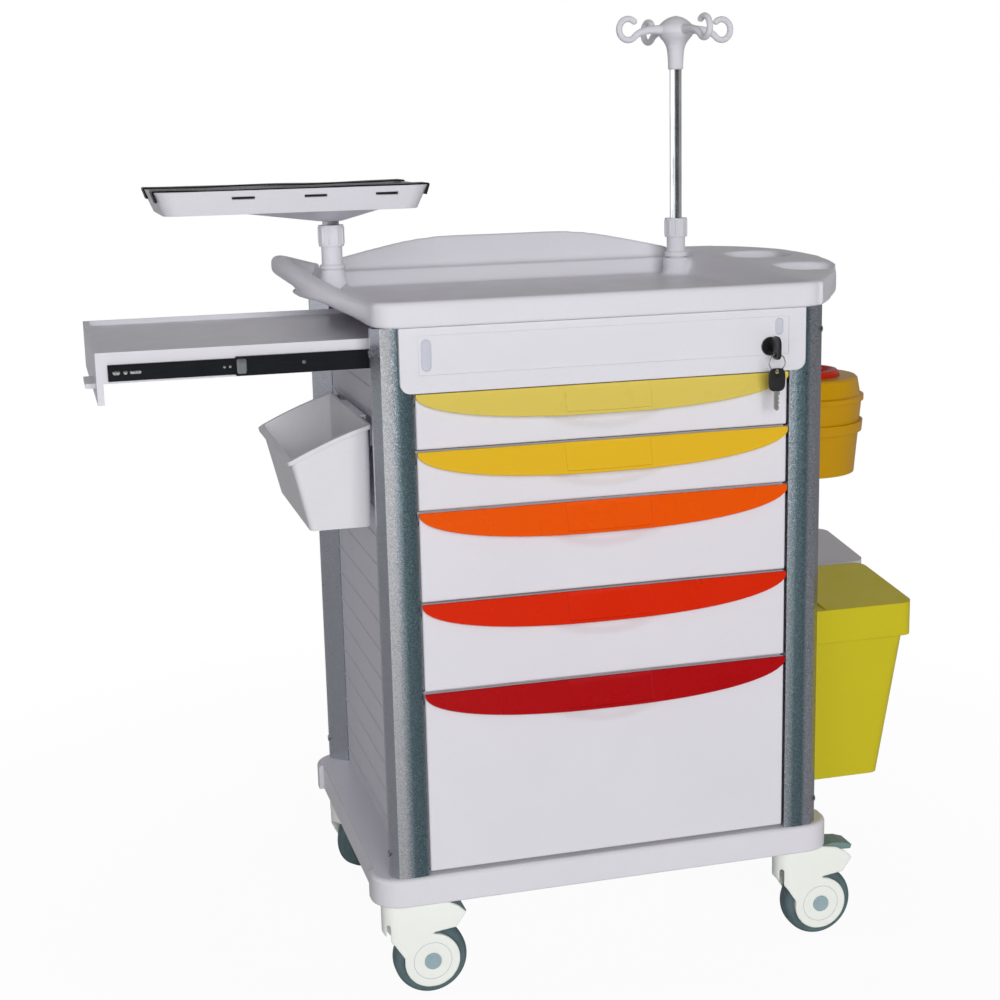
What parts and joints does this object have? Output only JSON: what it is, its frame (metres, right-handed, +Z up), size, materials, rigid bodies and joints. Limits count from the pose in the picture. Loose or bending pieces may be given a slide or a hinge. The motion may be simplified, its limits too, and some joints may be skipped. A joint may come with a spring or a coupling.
{
  "type": "hospital emergency trolley",
  "caption": "Moulded hospital emergency trolley on castors with colour-coded drawers, pull-out side shelf, swivel platform, infusion pole and hang-on bins.",
  "frame": {"origin": "on the floor under the centre of the drawer cabinet", "axes": "+X to the right seen from the drawer side, +Y to the back, +Z up"},
  "size_m": [1.142, 0.5781, 1.295],
  "materials": {
    "white_abs": "fine satin moulding",
    "panel_grey": "matte sheet with ridges",
    "column_aluminium": "sparkling grey coat",
    "steel_zinc": "zinc plated",
    "rail_black": "black zinc",
    "pole_chrome": "polished tube",
    "grip_pale_yellow": "gloss",
    "grip_amber": "gloss",
    "grip_orange": "gloss",
    "grip_vermilion": "gloss",
    "grip_red": "gloss",
    "webbing_black": "woven webbing",
    "bin_white": "satin moulding",
    "bin_yellow": "satin moulding",
    "bin_grey": "satin moulding",
    "sharps_yellow": "gloss moulding",
    "sharps_red": "gloss moulding",
    "castor_white": "gloss moulding",
    "pedal_teal": "satin moulding",
    "key_black": "satin moulding"
  },
  "bodies": {
    "cabinet": {"base_deck": "white_abs", "corner_columns": "column_aluminium", "left_side_panel": "panel_grey", "right_side_panel": "panel_grey", "back_panel": "panel_grey", "top_tray": "white_abs", "front_fascia": "white_abs", "lock_barrel": "key_black", "drawer_guides": "steel_zinc", "shelf_outer_rails": "rail_black", "hanging_rails": "steel_zinc", "sharps_holder": "sharps_yellow", "castor_stems": "steel_zinc", "panel_screws": "steel_zinc", "post_sockets": "white_abs"},
    "drawer_1": {"drawer_1_box": "white_abs", "drawer_1_front": "white_abs", "drawer_1_handle": "grip_pale_yellow"},
    "drawer_2": {"drawer_2_box": "white_abs", "drawer_2_front": "white_abs", "drawer_2_handle": "grip_amber"},
    "drawer_3": {"drawer_3_box": "white_abs", "drawer_3_front": "white_abs", "drawer_3_handle": "grip_orange"},
    "drawer_4": {"drawer_4_box": "white_abs", "drawer_4_front": "white_abs", "drawer_4_handle": "grip_vermilion"},
    "drawer_5": {"drawer_5_box": "white_abs", "drawer_5_front": "white_abs", "drawer_5_handle": "grip_red"},
    "shelf": {"shelf_board": "white_abs", "shelf_inner_rails": "rail_black"},
    "shelf_mid": {"shelf_mid_rails": "rail_black"},
    "iv_mast": {"iv_pole": "pole_chrome", "iv_hook_head": "white_abs"},
    "iv_collar": {"iv_collar": "white_abs"},
    "platform": {"defib_post": "steel_zinc", "defib_platform": "white_abs", "defib_straps": "webbing_black"},
    "platform_collar": {"defib_collar": "white_abs"},
    "castor_front_left": {"castor_fork_front_left": "castor_white"},
    "wheel_front_left": {"castor_wheel_front_left": "castor_white"},
    "pedal_front_left": {"brake_pedal_front_left": "pedal_teal"},
    "castor_front_right": {"castor_fork_front_right": "castor_white"},
    "wheel_front_right": {"castor_wheel_front_right": "castor_white"},
    "pedal_front_right": {"brake_pedal_front_right": "pedal_teal"},
    "castor_rear_left": {"castor_fork_rear_left": "castor_white"},
    "wheel_rear_left": {"castor_wheel_rear_left": "castor_white"},
    "castor_rear_right": {"castor_fork_rear_right": "castor_white"},
    "wheel_rear_right": {"castor_wheel_rear_right": "castor_white"},
    "dump_bin": {"dump_bin": "bin_white"},
    "waste_bin_yellow": {"waste_bin_yellow": "bin_yellow"},
    "waste_lid_yellow": {"waste_lid_yellow": "bin_yellow"},
    "waste_bin_grey": {"waste_bin_grey": "bin_grey"},
    "waste_lid_grey": {"waste_lid_grey": "bin_grey"},
    "sharps": {"sharps_tub": "sharps_yellow", "sharps_cover": "sharps_yellow"},
    "sharps_cap": {"sharps_cap": "sharps_red"},
    "lock_key": {"lock_key": "key_black"},
    "spare_key": {"spare_key": "key_black"}
  },
  "joints": [
    {"name": "drawer_1_slide", "type": "slide", "parent": "cabinet", "child": "drawer_1", "axis": [0, -1, 0], "range_m": [0, 0.34]},
    {"name": "drawer_2_slide", "type": "slide", "parent": "cabinet", "child": "drawer_2", "axis": [0, -1, 0], "range_m": [0, 0.34]},
    {"name": "drawer_3_slide", "type": "slide", "parent": "cabinet", "child": "drawer_3", "axis": [0, -1, 0], "range_m": [0, 0.34]},
    {"name": "drawer_4_slide", "type": "slide", "parent": "cabinet", "child": "drawer_4", "axis": [0, -1, 0], "range_m": [0, 0.34]},
    {"name": "drawer_5_slide", "type": "slide", "parent": "cabinet", "child": "drawer_5", "axis": [0, -1, 0], "range_m": [0, 0.34]},
    {"name": "shelf_slide", "type": "slide", "parent": "cabinet", "child": "shelf", "axis": [-1, 0, 0], "range_m": [-0.33, 0]},
    {"name": "shelf_mid_slide", "type": "slide", "parent": "cabinet", "child": "shelf_mid", "axis": [-1, 0, 0], "range_m": [-0.165, 0]},
    {"name": "iv_mast_slide", "type": "slide", "parent": "cabinet", "child": "iv_mast", "axis": [0, 0, 1], "range_m": [-0.19, 0.25]},
    {"name": "iv_collar_turn", "type": "hinge", "parent": "cabinet", "child": "iv_collar", "pos_m": [0.261, 0.193, 0.98], "axis": [0, 0, 1], "range_deg": [0, 180]},
    {"name": "platform_swivel", "type": "hinge", "parent": "cabinet", "child": "platform", "pos_m": [-0.304, 0, 1], "axis": [0, 0, 1], "continuous": true},
    {"name": "platform_collar_turn", "type": "hinge", "parent": "cabinet", "child": "platform_collar", "pos_m": [-0.304, 0, 1], "axis": [0, 0, 1], "range_deg": [0, 180]},
    {"name": "castor_swivel_front_left", "type": "hinge", "parent": "cabinet", "child": "castor_front_left", "pos_m": [-0.283, -0.204, 0.144], "axis": [0, 0, 1], "continuous": true},
    {"name": "wheel_spin_front_left", "type": "hinge", "parent": "castor_front_left", "child": "wheel_front_left", "pos_m": [-0.247, -0.204, 0.05], "axis": [0, 1, 0], "continuous": true},
    {"name": "pedal_front_left_tilt", "type": "hinge", "parent": "castor_front_left", "child": "pedal_front_left", "pos_m": [-0.239, -0.204, 0.122], "axis": [0, -1, 0], "range_deg": [0, 24]},
    {"name": "castor_swivel_front_right", "type": "hinge", "parent": "cabinet", "child": "castor_front_right", "pos_m": [0.283, -0.204, 0.144], "axis": [0, 0, 1], "continuous": true},
    {"name": "wheel_spin_front_right", "type": "hinge", "parent": "castor_front_right", "child": "wheel_front_right", "pos_m": [0.319, -0.204, 0.05], "axis": [0, 1, 0], "continuous": true},
    {"name": "pedal_front_right_tilt", "type": "hinge", "parent": "castor_front_right", "child": "pedal_front_right", "pos_m": [0.327, -0.204, 0.122], "axis": [0, -1, 0], "range_deg": [-24, 0]},
    {"name": "castor_swivel_rear_left", "type": "hinge", "parent": "cabinet", "child": "castor_rear_left", "pos_m": [-0.283, 0.204, 0.144], "axis": [0, 0, 1], "continuous": true},
    {"name": "wheel_spin_rear_left", "type": "hinge", "parent": "castor_rear_left", "child": "wheel_rear_left", "pos_m": [-0.25463, 0.22616, 0.05], "axis": [-0.6157, 0.788, 0], "continuous": true},
    {"name": "castor_swivel_rear_right", "type": "hinge", "parent": "cabinet", "child": "castor_rear_right", "pos_m": [0.283, 0.204, 0.144], "axis": [0, 0, 1], "continuous": true},
    {"name": "wheel_spin_rear_right", "type": "hinge", "parent": "castor_rear_right", "child": "wheel_rear_right", "pos_m": [0.319, 0.204, 0.05], "axis": [0, 1, 0], "continuous": true},
    {"name": "dump_bin_lift", "type": "slide", "parent": "cabinet", "child": "dump_bin", "axis": [0, 0, 1], "range_m": [0, 0.035]},
    {"name": "waste_bin_yellow_lift", "type": "slide", "parent": "cabinet", "child": "waste_bin_yellow", "axis": [0, 0, 1], "range_m": [0, 0.03]},
    {"name": "waste_lid_yellow_open", "type": "hinge", "parent": "waste_bin_yellow", "child": "waste_lid_yellow", "pos_m": [0.3185, -0.0865, 0.4552], "axis": [0, -1, 0], "range_deg": [0, 50]},
    {"name": "waste_bin_grey_lift", "type": "slide", "parent": "cabinet", "child": "waste_bin_grey", "axis": [0, 0, 1], "range_m": [0, 0.03]},
    {"name": "waste_lid_grey_open", "type": "hinge", "parent": "waste_bin_grey", "child": "waste_lid_grey", "pos_m": [0.3185, 0.086, 0.4712], "axis": [0, -1, 0], "range_deg": [0, 50]},
    {"name": "sharps_lift", "type": "slide", "parent": "cabinet", "child": "sharps", "axis": [0, 0, 1], "range_m": [0, 0.085]},
    {"name": "sharps_cap_turn", "type": "hinge", "parent": "sharps", "child": "sharps_cap", "pos_m": [0.38, -0.012, 0.776], "axis": [0, 0, 1], "range_deg": [0, 90]},
    {"name": "key_turn", "type": "hinge", "parent": "cabinet", "child": "lock_key", "pos_m": [0.22, -0.2558, 0.855], "axis": [0, 1, 0], "range_deg": [0, 90]},
    {"name": "spare_key_swing", "type": "hinge", "parent": "lock_key", "child": "spare_key", "pos_m": [0.22, -0.2758, 0.846], "axis": [1, 0, 0], "range_deg": [-80, 8]}
  ],
  "couplings": [
    {"joint": "shelf_mid_slide", "follows": "shelf_slide", "ratio": 0.5}
  ]
}
